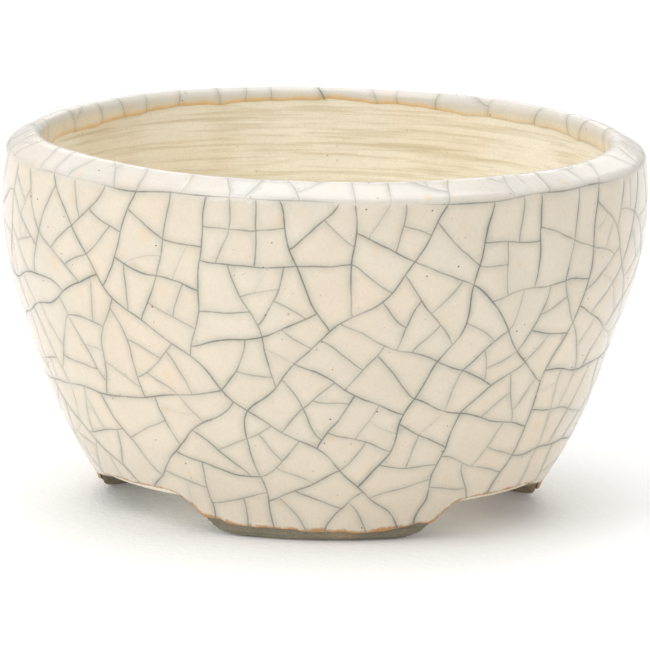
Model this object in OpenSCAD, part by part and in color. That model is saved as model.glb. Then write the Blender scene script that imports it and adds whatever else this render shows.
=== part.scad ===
// A small round bonsai pot: a wheel-thrown bowl with a sloping lip, standing on
// three feet that are cut out of its foot ring, under one coat of crackle glaze.
// Everything is turned about +Z. The origin is on the table, under the middle.
// The front foot faces -Y.

/* [Bowl] */
// Diameter of the glazed pot at its widest
pot_d = 74.6; // [70:0.2:80]
// Height of the pot from the table to the top of the lip
pot_h = 43; // [41:0.5:48]
// Height of the widest place above the table
belly_z = 35.9; // [34.5:0.1:36.5]
// Lean of the straight part of the side, from upright, in degrees
side_lean = 19.2; // [17:0.1:21]
// Radius of the curve from the side up to the belly
shoulder_r = 35.5; // [30:0.5:38]
// Height where the straight side turns in towards the base
waist_z = 14.8; // [13:0.2:16]
// Radius of the curve from the side down to the feet
base_curve_r = 49; // [44:1:54]
// Thickness of the clay wall, without glaze
wall_t = 3.6; // [3:0.1:4.4]

/* [Lip] */
// Rounding of the lip's outer edge, over the glaze
lip_outer_r = 1; // [0.8:0.1:1.6]
// Rounding of the lip's inner edge, over the glaze
lip_inner_r = 0.9; // [0.8:0.1:1.4]
// Slope of the lip's top, up towards its inner edge, in degrees
lip_slope = 28; // [20:1:34]
// Radius of the slight closing-in between the belly and the lip
lip_lean_r = 45; // [30:5:80]

/* [Base] */
// Height of the underside of the base above the table
foot_h = 4.2; // [4:0.1:4.3]
// Thickness of the base slab
slab_t = 3.6; // [3:0.1:5]
// Radius of the hollow between the wall and the base, inside
inside_fillet_r = 6; // [4:0.5:8]
// Diameter of the drain hole in the middle of the base
drain_d = 12; // [8:1:16]
// Diameter of the two holes for the wire that ties a tree in
wire_hole_d = 3; // [2:0.5:4]
// Distance between the two wire holes
wire_hole_gap = 28; // [22:1:32]

/* [Feet] */
// Angle round the ring that one foot stands on, in degrees
foot_span = 41.2; // [38:0.2:44]
// Distance from the axis to the inside of a foot
foot_inner_r = 20.6; // [20:0.1:22]
// Lean of the foot's outer face, from upright, in degrees
foot_lean = 12; // [8:1:16]
// Radius of the hollow where the foot meets the bowl
neck_r = 5.8; // [4:0.2:6.6]
// Rounding of the foot's bottom edges
toe_r = 0.9; // [0.5:0.1:1.2]
// Height of the arches between the feet
arch_h = 4.4; // [4.3:0.1:4.9]
// Steepness of the ends of the arches, in degrees
arch_climb = 50; // [44:1:60]
// Slope of the arches' roofs down towards the rear feet, in degrees
arch_fall = 9.9; // [6:0.1:11]
// Radius of the round toe at each end of an arch
arch_toe_r = 4; // [3:0.1:4.6]
// Radius of the curve from the end of an arch into its top, less where the roof is low
arch_top_r = 4.5; // [3:0.1:5]

/* [Glaze] */
// Thickness of the glaze
glaze_t = 0.4; // [0.3:0.05:0.6]
// Height above the table where the glaze stops on a foot
glaze_foot_z = 0.9; // [0.8:0.1:1.5]
// Height above the table where the glaze stops inside the bowl
glaze_inside_z = 39.5; // [38.5:0.1:40]

/* [Hidden] */
$fn = 96;

clay_colour = [0.84, 0.77, 0.61];
raw_foot_colour = [0.55, 0.51, 0.43];
glaze_colour = [0.92, 0.87, 0.79];

belly_r = pot_d / 2;
inside_inset = glaze_t + wall_t; // from the glazed outside to the clay inside
slab_top_z = foot_h + slab_t;
foot_pitch = 120; // three feet
foot_facing = -90; // direction of the front foot
overcut = 1;

// Centres of the curves of the outside. Every inset line is concentric with them.
shoulder_centre = [belly_r - shoulder_r, belly_z];
side_top = shoulder_centre + shoulder_r * heading(-side_lean);
side_foot = [side_top[0] - (side_top[1] - waist_z) * tan(side_lean), waist_z];
base_centre = side_foot - base_curve_r * heading(-side_lean);

// The bowl turns into the feet where its clay reaches the underside of the base.
neck_lean = asin((base_centre[1] - foot_h) / (base_curve_r - glaze_t));
neck_centre = base_centre + (base_curve_r + neck_r) * heading(-neck_lean);
foot_face_top = neck_centre + neck_r * heading(180 - foot_lean);

// The lip's sloping top touches the roundings of its two edges.
lip_facing = 90 - lip_slope;
lip_lean_centre = [belly_r - lip_lean_r, belly_z];
lip_inner_x = belly_r - inside_inset - glaze_t;
lip_inner_centre = [lip_inner_x + lip_inner_r, pot_h - lip_inner_r];
lip_reach = (lip_inner_centre - lip_lean_centre) * heading(lip_facing) + lip_inner_r - lip_outer_r;
lip_lean = lip_facing - acos(lip_reach / (lip_lean_r - lip_outer_r));
lip_outer_centre = lip_lean_centre + (lip_lean_r - lip_outer_r) * heading(lip_lean);

// The hollow inside, where the wall runs into the base
fillet_z = slab_top_z + inside_fillet_r;
fillet_reach = base_curve_r - inside_inset - inside_fillet_r;
fillet_lean = asin((base_centre[1] - fillet_z) / fillet_reach);
slab_r = base_centre[0] + fillet_reach * cos(fillet_lean);

function heading(a) = [cos(a), sin(a)];

function arc(centre, r, from, to, steps) =
    [for (i = [0:steps]) centre + r * heading(from + (to - from) * i / steps)];

function reversed(points) = [for (i = [len(points) - 1:-1:0]) points[i]];

function without_first(points) = [for (i = [1:len(points) - 1]) points[i]];

// Outside of the bowl, from the neck up to the lip's outer edge, inset inwards
function bowl_outside(inset) = concat(
    arc(base_centre, base_curve_r - inset, -neck_lean, -side_lean, 6),
    arc(shoulder_centre, shoulder_r - inset, -side_lean, 0, 8),
    without_first(arc(lip_lean_centre, lip_lean_r - inset, 0, lip_lean, 3)),
    without_first(arc(lip_outer_centre, lip_outer_r - inset, lip_lean, lip_facing, 4))
);

// The lip's inner edge, from its sloping top down to the inside
function lip_inside(inset) = arc(lip_inner_centre, lip_inner_r - inset, lip_facing, 180, 8);

// Clay inside of the bowl, from the lip down to the edge of the base slab
function bowl_inside() = concat(
    arc(shoulder_centre, shoulder_r - inside_inset, 0, -side_lean, 8),
    arc(base_centre, base_curve_r - inside_inset, -side_lean, -fillet_lean, 3),
    without_first(arc([slab_r, fillet_z], inside_fillet_r, -fillet_lean, -90, 8))
);

// The hollow between the bowl and a foot, from the foot's face up to the bowl
function neck(inset) =
    arc(neck_centre, neck_r + inset, 180 - foot_lean, 180 - neck_lean, 4);

// How far out the foot's face is at a height below the neck
function foot_face_x(inset, z) =
    foot_face_top[0] - inset / cos(foot_lean) - (foot_face_top[1] - z) * tan(foot_lean);

function foot_section() =
    let (
        toe_z = toe_r - toe_r * sin(foot_lean),
        toe_x = foot_face_x(glaze_t, toe_z) - toe_r * cos(foot_lean)
    )
    concat(
        arc([foot_inner_r + toe_r, toe_r], toe_r, 180, 270, 4),
        arc([toe_x, toe_r], toe_r, -90, -foot_lean, 5),
        neck(glaze_t),
        [[foot_inner_r - 0.4, foot_h]]
    );

// One side of an arch, from the table to its middle: a round toe, a slope, and a
// curve into a roof that falls away from the middle
function arch_side(fall) =
    let (
        stand = foot_face_x(glaze_t, 0) * sin(foot_pitch / 2 - foot_span / 2),
        toe = [stand, arch_toe_r] + arch_toe_r * heading(270 - arch_climb),
        up_slope = [-cos(arch_climb), sin(arch_climb)],
        to_roof = (arch_h - toe[1] - toe[0] * tan(fall)) / (up_slope[1] + up_slope[0] * tan(fall)),
        half_turn = (arch_climb - fall) / 2,
        top_r = min(arch_top_r, 0.9 * to_roof / tan(half_turn)),
        curve_start = toe + (to_roof - top_r * tan(half_turn)) * up_slope
    )
    concat(
        arc([stand, arch_toe_r], arch_toe_r, 270, 270 - arch_climb, 6),
        arc(curve_start - top_r * heading(90 - arch_climb), top_r, 90 - arch_climb, 90 - fall, 6),
        [[0, arch_h]]
    );

module turned(points) {
    rotate_extrude($fn = 192) polygon(points);
}

// An arch cut straight outwards from the axis, with a roof that may fall on
// either side of its middle
module arch(facing, fall_left, fall_right) {
    left = [for (p = arch_side(fall_left)) [-p[0], p[1]]];
    right = arch_side(fall_right);
    rotate([0, 0, facing])
        rotate([90, 0, 90])
            linear_extrude(belly_r)
                polygon(concat(
                    [[right[0][0], -overcut]],
                    right,
                    without_first(reversed(left)),
                    [[left[0][0], -overcut]]
                ));
}

// The front foot's arches have a level roof on its side and fall to the rear feet.
module arches() {
    arch(foot_facing + foot_pitch / 2, 0, arch_fall);
    arch(foot_facing - foot_pitch / 2, arch_fall, 0);
    arch(foot_facing + 180, arch_fall, arch_fall);
}

// The third of the ring that belongs to one foot
module foot_sector(facing) {
    far = 2 * belly_r;
    rotate([0, 0, facing])
        translate([0, 0, -overcut])
            linear_extrude(foot_h + 2 * overcut)
                polygon([[0, 0], far * heading(-foot_pitch / 2), [2 * far, 0], far * heading(foot_pitch / 2)]);
}

module thrown_wall() {
    color(clay_colour)
        turned(concat(
            bowl_outside(glaze_t),
            lip_inside(glaze_t),
            bowl_inside(),
            [[slab_r, foot_h]]
        ));
}

module base_slab() {
    color(clay_colour)
        translate([0, 0, foot_h])
            difference() {
                cylinder(r = slab_r, h = slab_t);
                translate([0, 0, -overcut])
                    cylinder(d = drain_d, h = slab_t + 2 * overcut);
                for (side = [-1, 1])
                    translate([side * wire_hole_gap / 2, 0, -overcut])
                        cylinder(d = wire_hole_d, h = slab_t + 2 * overcut);
            }
}

module foot(facing) {
    color(raw_foot_colour)
        difference() {
            intersection() {
                turned(foot_section());
                foot_sector(facing);
            }
            arches();
        }
}

module crackle_glaze() {
    outside = concat(
        [[foot_face_x(0, glaze_foot_z), glaze_foot_z]],
        neck(0),
        without_first(bowl_outside(0)),
        lip_inside(0),
        [[lip_inner_x, glaze_inside_z]]
    );
    clay_side = concat(
        [[foot_face_x(glaze_t, glaze_foot_z), glaze_foot_z]],
        neck(glaze_t),
        without_first(bowl_outside(glaze_t)),
        lip_inside(glaze_t),
        [[belly_r - inside_inset, glaze_inside_z]]
    );
    color(glaze_colour)
        difference() {
            turned(concat(outside, reversed(clay_side)));
            arches();
        }
}

thrown_wall();
base_slab();
foot(foot_facing);  // foot_front
foot(foot_facing + foot_pitch);  // foot_rear_right
foot(foot_facing - foot_pitch);  // foot_rear_left
crackle_glaze();
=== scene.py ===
import heapq
import math
import random

import bpy
import numpy as np
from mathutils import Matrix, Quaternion, Vector, geometry, kdtree


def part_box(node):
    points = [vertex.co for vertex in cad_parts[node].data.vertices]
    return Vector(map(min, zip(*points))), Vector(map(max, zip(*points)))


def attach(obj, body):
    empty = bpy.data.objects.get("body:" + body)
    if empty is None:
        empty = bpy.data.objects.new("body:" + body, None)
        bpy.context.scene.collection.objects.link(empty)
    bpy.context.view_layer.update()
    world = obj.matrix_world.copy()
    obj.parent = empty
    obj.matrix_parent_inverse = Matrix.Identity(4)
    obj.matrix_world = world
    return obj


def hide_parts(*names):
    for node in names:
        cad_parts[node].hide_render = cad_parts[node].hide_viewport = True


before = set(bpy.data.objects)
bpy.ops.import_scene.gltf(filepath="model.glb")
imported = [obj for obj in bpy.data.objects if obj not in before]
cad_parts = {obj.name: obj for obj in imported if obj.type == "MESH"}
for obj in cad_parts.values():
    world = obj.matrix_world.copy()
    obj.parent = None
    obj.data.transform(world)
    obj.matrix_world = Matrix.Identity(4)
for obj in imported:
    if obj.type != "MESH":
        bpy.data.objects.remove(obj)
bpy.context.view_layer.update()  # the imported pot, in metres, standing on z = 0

mm = 0.001


# Small helpers for node trees

def addNode(tree, kind, settings=None, inputs=None):
    node = tree.nodes.new(kind)
    for name, value in (settings or {}).items():
        setattr(node, name, value)
    for name, value in (inputs or {}).items():
        feed(tree, node.inputs[name], value)
    return node


def feed(tree, socket, value):
    if isinstance(value, bpy.types.NodeSocket):
        tree.links.new(value, socket)
    else:
        socket.default_value = value


def calc(tree, operation, first, second=None, third=None, clamp=False):
    node = addNode(tree, "ShaderNodeMath", {"operation": operation, "use_clamp": clamp})
    for place, value in enumerate((first, second, third)):
        if value is not None:
            feed(tree, node.inputs[place], value)
    return node.outputs[0]


def ramp(tree, value, low, high, toLow=0.0, toHigh=1.0, smooth=True):
    node = addNode(tree, "ShaderNodeMapRange", {"interpolation_type": "SMOOTHSTEP" if smooth else "LINEAR"})
    for name, number in (("From Min", low), ("From Max", high), ("To Min", toLow), ("To Max", toHigh)):
        feed(tree, node.inputs[name], number)
    feed(tree, node.inputs["Value"], value)
    return node.outputs["Result"]


def joinXyz(tree, x, y, z):
    return addNode(tree, "ShaderNodeCombineXYZ", inputs={"X": x, "Y": y, "Z": z}).outputs[0]


def splitXyz(tree, vector):
    return addNode(tree, "ShaderNodeSeparateXYZ", inputs={"Vector": vector}).outputs


def noise(tree, vector, scale, detail=3.0, roughness=0.5):
    # a value round 0.5
    settings = {"Vector": vector, "Scale": scale, "Detail": detail, "Roughness": roughness}
    return addNode(tree, "ShaderNodeTexNoise", inputs=settings).outputs[0]


def mixColour(tree, amount, first, second):
    node = addNode(tree, "ShaderNodeMix", {"data_type": "RGBA"})
    for place, value in ((0, amount), (6, first), (7, second)):
        feed(tree, node.inputs[place], value)
    return node.outputs[2]


def objectPlace(tree):
    return addNode(tree, "ShaderNodeTexCoord").outputs["Object"]


def fromAxis(tree, axes):
    flat = joinXyz(tree, axes["X"], axes["Y"], 0.0)
    return addNode(tree, "ShaderNodeVectorMath", {"operation": "LENGTH"}, {"Vector": flat}).outputs["Value"]


def painted(tree, name):
    # a number stored on the mesh, for a material
    return addNode(tree, "ShaderNodeAttribute", {"attribute_name": name}).outputs["Fac"]


def stored(tree, name):
    # the same for a geometry tree
    kind = {"data_type": "FLOAT"}
    return addNode(tree, "GeometryNodeInputNamedAttribute", kind, {"Name": name}).outputs[0]


def swing(tree, value, size, middle=0.5):
    # a value round the middle becomes one round 0
    return calc(tree, "MULTIPLY", calc(tree, "SUBTRACT", value, middle), calc(tree, "MULTIPLY", size, 2.0))


def newGroup(name, kind, inputs, outputs):
    # an input is given by its first value, or by its kind where it has none
    kinds = {float: "Float", int: "Int", tuple: "Color"}
    tree = bpy.data.node_groups.new(name, kind)
    for label, value in inputs.items():
        named = isinstance(value, str)
        socketKind = "NodeSocket" + (value if named else kinds[type(value)])
        socket = tree.interface.new_socket(label, in_out="INPUT", socket_type=socketKind)
        if not named:
            socket.default_value = value
    for label, value in outputs.items():
        tree.interface.new_socket(label, in_out="OUTPUT", socket_type="NodeSocket" + value)
    return tree, tree.nodes.new("NodeGroupInput").outputs, tree.nodes.new("NodeGroupOutput").inputs


def useGroup(tree, group, inputs):
    node = tree.nodes.new("ShaderNodeGroup")
    node.node_tree = group
    for label, value in inputs.items():
        feed(tree, node.inputs[label], value)
    return node.outputs


def finishTree(tree, geometry, given, result):
    # every geometry tree ends in real geometry with its material on
    real = addNode(tree, "GeometryNodeRealizeInstances", inputs={"Geometry": geometry})
    done = addNode(tree, "GeometryNodeSetMaterial",
                   inputs={"Geometry": real.outputs[0], "Material": given["Material"]})
    tree.links.new(done.outputs[0], result["Geometry"])
    return tree


def addTree(piece, tree, values):
    # each input is set by its socket's identifier, before the piece is evaluated
    modifier = piece.modifiers.new(tree.name, "NODES")
    modifier.node_group = tree
    sockets = {item.name: item.identifier for item in tree.interface.items_tree if item.in_out == "INPUT"}
    for label, value in values.items():
        modifier[sockets[label]] = value


def bake(piece):
    # the modifiers' result becomes the piece's own plain mesh
    view = bpy.context.evaluated_depsgraph_get()
    view.update()
    baked = bpy.data.meshes.new_from_object(piece.evaluated_get(view), depsgraph=view)
    piece.modifiers.clear()
    old = piece.data
    piece.data = baked
    bpy.data.meshes.remove(old)
    baked.name = piece.name
    baked.polygons.foreach_set("use_smooth", np.ones(len(baked.polygons), bool))
    return piece


def addObject(name, data):
    thing = bpy.data.objects.new(name, data)
    bpy.context.collection.objects.link(thing)
    return thing


def addPiece(name, verts, faces, values=None):
    mesh = bpy.data.meshes.new(name)
    mesh.from_pydata([tuple(p) for p in verts], [], [tuple(f) for f in faces])
    for label, numbers in (values or {}).items():
        layer = mesh.attributes.new(label, "FLOAT", "POINT")
        layer.data.foreach_set("value", np.asarray(numbers, np.float32))
    return addObject(name, mesh)


def addMaterial(name):
    material = bpy.data.materials.new(name)
    material.use_nodes = True
    return material, material.node_tree, material.node_tree.nodes["Principled BSDF"]


def addBump(tree, skin, height, depth, previous=None):
    bump = addNode(tree, "ShaderNodeBump", inputs={"Distance": depth, "Height": height})
    if previous is not None:
        tree.links.new(previous, bump.inputs["Normal"])
    tree.links.new(bump.outputs[0], skin.inputs["Normal"])
    return bump.outputs[0]


# Stage, light and camera

camera = {
    "distance": 0.9,      # from the point that it faces
    "pitch": 10.68,       # degrees down
    "roll": 1.2,          # degrees
    "lens": 429.0,        # long, so near and far rims look alike
    "aimUp": 0.0203,
    "aimRight": 0.0003,
}

def addCamera(c):
    data = bpy.data.cameras.new("camera")
    data.lens = c["lens"]
    data.sensor_width = 36
    data.clip_start = 0.05
    data.clip_end = 20
    cam = addObject("camera", data)
    pitch = math.radians(c["pitch"])
    aim = Vector((c["aimRight"], 0, c["aimUp"]))
    back = Vector((0, -math.cos(pitch), math.sin(pitch)))
    cam.location = aim + back * c["distance"]
    cam.rotation_mode = "QUATERNION"
    level = (-back).to_track_quat("-Z", "Y")
    cam.rotation_quaternion = level @ Quaternion((0, 0, 1), math.radians(c["roll"]))
    bpy.context.scene.camera = cam


studio = {
    "surround": 0.66,     # brightness of the white room
    "lean": 0.2,          # how much brighter its left is, and darker its right
    "lights": (           # name, width and height, power, place, point that it faces
        ("keyLight", (0.5, 0.5), 2.7, (-0.5, -0.55, 0.95), (0, 0, 0.02)),      # high, left in front
        ("streakLight", (0.6, 0.2), 0.9, (-0.62, -0.8, 0.5), (0, 0, 0.03)),    # low strip
        ("topLight", (0.9, 0.9), 4.8, (0.05, 0.1, 1.1), (0, 0, 0)),
        ("backLight", (0.8, 0.4), 1.0, (0.1, 0.9, 0.5), (0, 0, 0.03)),
    ),
}

def addLight(name, size, power, place, aim):
    data = bpy.data.lights.new(name, "AREA")
    data.shape = "RECTANGLE"
    data.size, data.size_y = size
    data.energy = power
    light = addObject(name, data)
    light.location = place
    light.rotation_mode = "QUATERNION"
    light.rotation_quaternion = (Vector(aim) - Vector(place)).to_track_quat("-Z", "Y")
    light.visible_camera = False


def addStudio(s):
    world = bpy.data.worlds.new("white room")
    world.use_nodes = True
    bpy.context.scene.world = world
    tree = world.node_tree
    tree.nodes.clear()
    seen = addNode(tree, "ShaderNodeLightPath").outputs["Is Camera Ray"]
    side = splitXyz(tree, addNode(tree, "ShaderNodeTexCoord").outputs["Generated"])["X"]
    left, right = s["surround"] * (1 + s["lean"]), s["surround"] * (1 - s["lean"])
    room = ramp(tree, side, -1, 1, left, right, smooth=False)
    strength = calc(tree, "MAXIMUM", room, seen)
    sky = addNode(tree, "ShaderNodeBackground", inputs={"Color": (1, 1, 1, 1), "Strength": strength})
    out = addNode(tree, "ShaderNodeOutputWorld")
    tree.links.new(sky.outputs[0], out.inputs["Surface"])
    for name, size, power, place, aim in s["lights"]:
        addLight(name, size, power, place, aim)


paper = {"size": 3.0, "shade": 0.93, "roughness": 0.6, "glow": 0.12}

def addFloor(p):
    corners = [(x * p["size"], y * p["size"], 0) for x, y in ((-1, -1), (1, -1), (1, 1), (-1, 1))]
    floor = addPiece("floor", corners, [(0, 1, 2, 3)])
    material, tree, skin = addMaterial("paper")
    skin.inputs["Base Color"].default_value = (p["shade"], p["shade"], p["shade"], 1)
    skin.inputs["Roughness"].default_value = p["roughness"]
    skin.inputs["Emission Color"].default_value = (1, 1, 1, 1)
    skin.inputs["Emission Strength"].default_value = p["glow"]
    addBump(tree, skin, noise(tree, objectPlace(tree), 900, 3, 0.6), 0.25 * mm)
    floor.data.materials.append(material)


scene = bpy.context.scene
scene.view_settings.view_transform = "Standard"
scene.view_settings.look = "None"
addCamera(camera)
addStudio(studio)
addFloor(paper)
print("stage: camera, studio and floor are set")


# The outline that the whole pot is turned from, in millimetres, (distance from the axis, height)

bowl = {
    "bellyHeight": 35.9,   # height of the widest place
    "sideLean": 19.2,      # lean of the straight side, in degrees
    "shoulderR": 35.5,     # curve from the side to the belly
    "waistHeight": 14.8,   # where the side turns in towards the base
    "baseCurveR": 49.0,    # curve from the side to the feet
    "neckR": 5.8,          # hollow above a foot
    "footLean": 12.0,      # lean of a foot's face, in degrees
    "lipLeanR": 45.0,      # slight closing-in above the belly
    "lipR": 1.0,           # outer edge of the lip
    "lipInnerR": 0.9,      # inner edge of the lip
    "lipSlope": 28.0,      # slope of the lip's top, in degrees
    "wall": 3.6,           # thickness of the clay
    "glaze": 0.4,          # thickness of the glaze
    "baseHeight": 4.2,     # underside of the base above the table
    "floorHeight": 7.8,    # inside floor above the table
    "hollowR": 6.0,        # hollow from the floor to the wall
}

def heading(degrees):
    return np.array((math.cos(math.radians(degrees)), math.sin(math.radians(degrees))))


def arc(centre, r, first, last):
    count = max(3, round(abs(math.radians(last - first)) * r / 0.12))
    return [centre + r * heading(first + (last - first) * i / count) for i in range(count + 1)]


def tracedOutline(points):
    # even steps of 0.1 mm along the points
    points = np.array(points)
    step = np.hypot(*np.diff(points, axis=0).T)
    keep = np.concatenate([[True], step > 1e-4])
    points = points[keep]
    along = np.concatenate([[0], np.cumsum(np.hypot(*np.diff(points, axis=0).T))])
    s = np.linspace(0, along[-1], round(along[-1] / 0.1) + 1)
    return {"s": s, "r": np.interp(s, along, points[:, 0]), "z": np.interp(s, along, points[:, 1])}


def outlineParts(b):
    low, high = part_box("crackle_glaze")
    belly, top, foot = high[0] / mm, high[2] / mm, low[2] / mm
    shoulder = np.array((belly - b["shoulderR"], b["bellyHeight"]))
    sideTop = shoulder + b["shoulderR"] * heading(-b["sideLean"])
    lean = math.radians(b["sideLean"])
    waist = np.array((sideTop[0] - (sideTop[1] - b["waistHeight"]) * math.tan(lean), b["waistHeight"]))
    base = waist - b["baseCurveR"] * heading(-b["sideLean"])
    neckLean = math.degrees(math.asin((base[1] - b["baseHeight"]) / (b["baseCurveR"] - b["glaze"])))
    neck = base + (b["baseCurveR"] + b["neckR"]) * heading(-neckLean)
    lipCentre = np.array((belly - b["lipLeanR"], b["bellyHeight"]))
    inner = belly - 2 * b["glaze"] - b["wall"]
    innerCentre = np.array((inner + b["lipInnerR"], top - b["lipInnerR"]))
    facing = 90 - b["lipSlope"]
    reach = (innerCentre - lipCentre) @ heading(facing) + b["lipInnerR"] - b["lipR"]
    lipLean = facing - math.degrees(math.acos(reach / (b["lipLeanR"] - b["lipR"])))
    outerCentre = lipCentre + (b["lipLeanR"] - b["lipR"]) * heading(lipLean)
    return {
        "belly": belly, "top": top, "foot": foot, "shoulder": shoulder, "base": base, "neck": neck,
        "neckLean": neckLean, "lipCentre": lipCentre, "lipLean": lipLean, "lipFacing": facing,
        "outerCentre": outerCentre, "inner": inner, "innerCentre": innerCentre,
    }


def outsideLine(b, o, inset):
    # from the neck up to the crown and down the inner edge of the lip
    return (
        arc(o["neck"], b["neckR"] + inset, 180 - b["footLean"], 180 - o["neckLean"])
        + arc(o["base"], b["baseCurveR"] - inset, -o["neckLean"], -b["sideLean"])
        + arc(o["shoulder"], b["shoulderR"] - inset, -b["sideLean"], 0)
        + arc(o["lipCentre"], b["lipLeanR"] - inset, 0, o["lipLean"])
        + arc(o["outerCentre"], b["lipR"] - inset, o["lipLean"], o["lipFacing"])
        + arc(o["innerCentre"], b["lipInnerR"] - inset, o["lipFacing"], 180)
    )


def glazeOutline(b, o):
    line = outsideLine(b, o, 0)
    faceFoot = line[0] - (line[0][1] - 0.5) * np.array((math.tan(math.radians(b["footLean"])), 1))
    traced = tracedOutline([faceFoot] + line + [np.array((o["inner"], b["bellyHeight"]))])
    # v runs up the outline so that a shape drawn with it keeps its angles on the pot
    stretch = o["belly"] / traced["r"]
    traced["v"] = np.concatenate([[0], np.cumsum(np.diff(traced["s"]) * (stretch[1:] + stretch[:-1]) / 2)])
    return traced


def wallOutline(b, o, inset):
    line = outsideLine(b, o, inset)
    line = [p for p in line if p[1] > b["baseHeight"]]
    thick = b["glaze"] + b["wall"]
    reach = b["baseCurveR"] - thick - b["hollowR"]
    hollowZ = b["floorHeight"] + b["hollowR"]
    hollowLean = math.degrees(math.asin((o["base"][1] - hollowZ) / reach))
    slab = o["base"][0] + reach * math.cos(math.radians(hollowLean))
    inside = (
        arc(o["shoulder"], b["shoulderR"] - thick, 0, -b["sideLean"])
        + arc(o["base"], b["baseCurveR"] - thick, -b["sideLean"], -hollowLean)
        + arc(np.array((slab, hollowZ)), b["hollowR"], -hollowLean, -90)
    )
    under = [np.array((slab, b["baseHeight"])), line[0] - np.array((0, line[0][1] - b["baseHeight"]))]
    return tracedOutline(line + inside + under), slab


def outlineCurve(name, traced):
    data = bpy.data.curves.new(name, "CURVE")
    data.dimensions = "3D"
    spline = data.splines.new("POLY")
    spline.points.add(len(traced["s"]) - 1)
    places = np.stack([traced["r"] * mm, 0 * traced["r"], traced["z"] * mm, 1 + 0 * traced["r"]], axis=1)
    spline.points.foreach_set("co", places.astype(np.float32).ravel())
    curve = addObject(name, data)
    curve.hide_render = True
    return curve


# A flat sheet follows an outline round the axis: the clay wall and the glaze both go through this tree

def makeThrownForm():
    tree, given, result = newGroup("thrownForm", "GeometryNodeTree", {
        "Geometry": "Geometry",
        "Outline": "Object",
        "Material": "Material",
        "Thickness": 0.4 * mm,
        "Foot Roll": 0.5 * mm,
        "Rim Feather": 1.2 * mm,
        "Crack Depth": 0.0,
        "Pillow": 0.0,
        "Ridge Depth": 0.0,
        "Ridge Spacing": 0.65 * mm,
        "Wobble": 0.2 * mm,
        "Seed": 0.0,
    }, {"Geometry": "Geometry"})

    turn, climb = stored(tree, "turn"), stored(tree, "climb")
    info = addNode(tree, "GeometryNodeObjectInfo", inputs={"Object": given["Outline"]})
    sample = addNode(tree, "GeometryNodeSampleCurve", {"mode": "LENGTH"},
                     {"Curves": info.outputs["Geometry"], "Length": climb})
    place = splitXyz(tree, sample.outputs["Position"])
    along = splitXyz(tree, sample.outputs["Tangent"])
    east, north = calc(tree, "SINE", turn), calc(tree, "MULTIPLY", calc(tree, "COSINE", turn), -1.0)

    def swirl(reach, height):
        # the noises read a place on the pot, so they meet at the seam
        x, y = calc(tree, "MULTIPLY", east, reach), calc(tree, "MULTIPLY", north, reach)
        return joinXyz(tree, x, y, height)

    def centred(value):
        return calc(tree, "MULTIPLY", calc(tree, "SUBTRACT", value, 0.5), 2.0)

    height = calc(tree, "ADD", calc(tree, "MULTIPLY", climb, 25.0), calc(tree, "ADD", given["Seed"], 3.0))
    slow = centred(noise(tree, swirl(0.9, height), 1.0, 1.0))
    fade = ramp(tree, place["Z"], 6 * mm, 16 * mm)
    most = calc(tree, "MULTIPLY", given["Wobble"], 2.0)
    wobble = calc(tree, "MULTIPLY", calc(tree, "MULTIPLY", slow, fade), most)

    rings = calc(tree, "DIVIDE", 1.0, given["Ridge Spacing"])
    tilt = calc(tree, "MULTIPLY", north, 0.5)
    level = calc(tree, "ADD", calc(tree, "MULTIPLY", calc(tree, "MULTIPLY", climb, rings), 0.7), tilt)
    fine = centred(noise(tree, swirl(0.8, level), 1.0, 2.0, 0.6))
    broad = centred(noise(tree, swirl(0.5, calc(tree, "MULTIPLY", level, 0.21)), 1.0, 1.0))
    ridges = calc(tree, "MULTIPLY", calc(tree, "MULTIPLY_ADD", broad, 1.1, fine), stored(tree, "thrown"))

    def roundOff(distance, width):
        # 0 at the full thickness, 1 at the glaze's edge, a quarter of a circle between
        near = calc(tree, "SUBTRACT", 1.0, calc(tree, "DIVIDE", distance, width), clamp=True)
        level = calc(tree, "SQRT", calc(tree, "SUBTRACT", 1.0, calc(tree, "POWER", near, 2.0)))
        return calc(tree, "SUBTRACT", 1.0, level)

    edge = calc(tree, "MAXIMUM", roundOff(stored(tree, "footEdge"), given["Foot Roll"]),
                roundOff(stored(tree, "rimEdge"), given["Rim Feather"]))
    crack = stored(tree, "crackDist")
    # the glaze dips at a crack and stands a little proud in the middle of a cell
    groove = calc(tree, "MULTIPLY", ramp(tree, crack, 0, 0.13 * mm, 1, 0), given["Crack Depth"])
    pillow = calc(tree, "MULTIPLY", ramp(tree, crack, 0, 1.4 * mm), given["Pillow"])

    lift = calc(tree, "ADD", wobble, calc(tree, "MULTIPLY", ridges, given["Ridge Depth"]))
    lift = calc(tree, "ADD", lift, calc(tree, "SUBTRACT", pillow, groove))
    lift = calc(tree, "SUBTRACT", lift, calc(tree, "MULTIPLY", edge, given["Thickness"]))
    lift = calc(tree, "SUBTRACT", lift, stored(tree, "depth"))

    r = calc(tree, "ADD", place["X"], calc(tree, "MULTIPLY", lift, along["Z"]))
    z = calc(tree, "SUBTRACT", place["Z"], calc(tree, "MULTIPLY", lift, along["X"]))
    where = joinXyz(tree, calc(tree, "MULTIPLY", r, east), calc(tree, "MULTIPLY", r, north), z)
    formed = addNode(tree, "GeometryNodeSetPosition",
                     inputs={"Geometry": given["Geometry"], "Position": where})
    kept = addNode(tree, "GeometryNodeStoreNamedAttribute", {"data_type": "FLOAT", "domain": "POINT"},
                   {"Geometry": formed.outputs[0], "Name": "ridges", "Value": ridges})
    return finishTree(tree, kept.outputs[0], given, result)


parts = outlineParts(bowl)
thrownForm = makeThrownForm()
print(f"outline: belly {parts['belly']:.2f} mm, lip at {parts['top']:.2f} mm")


# The crackle: one sheet of glaze is split again and again, each new crack ending on older ones

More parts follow.
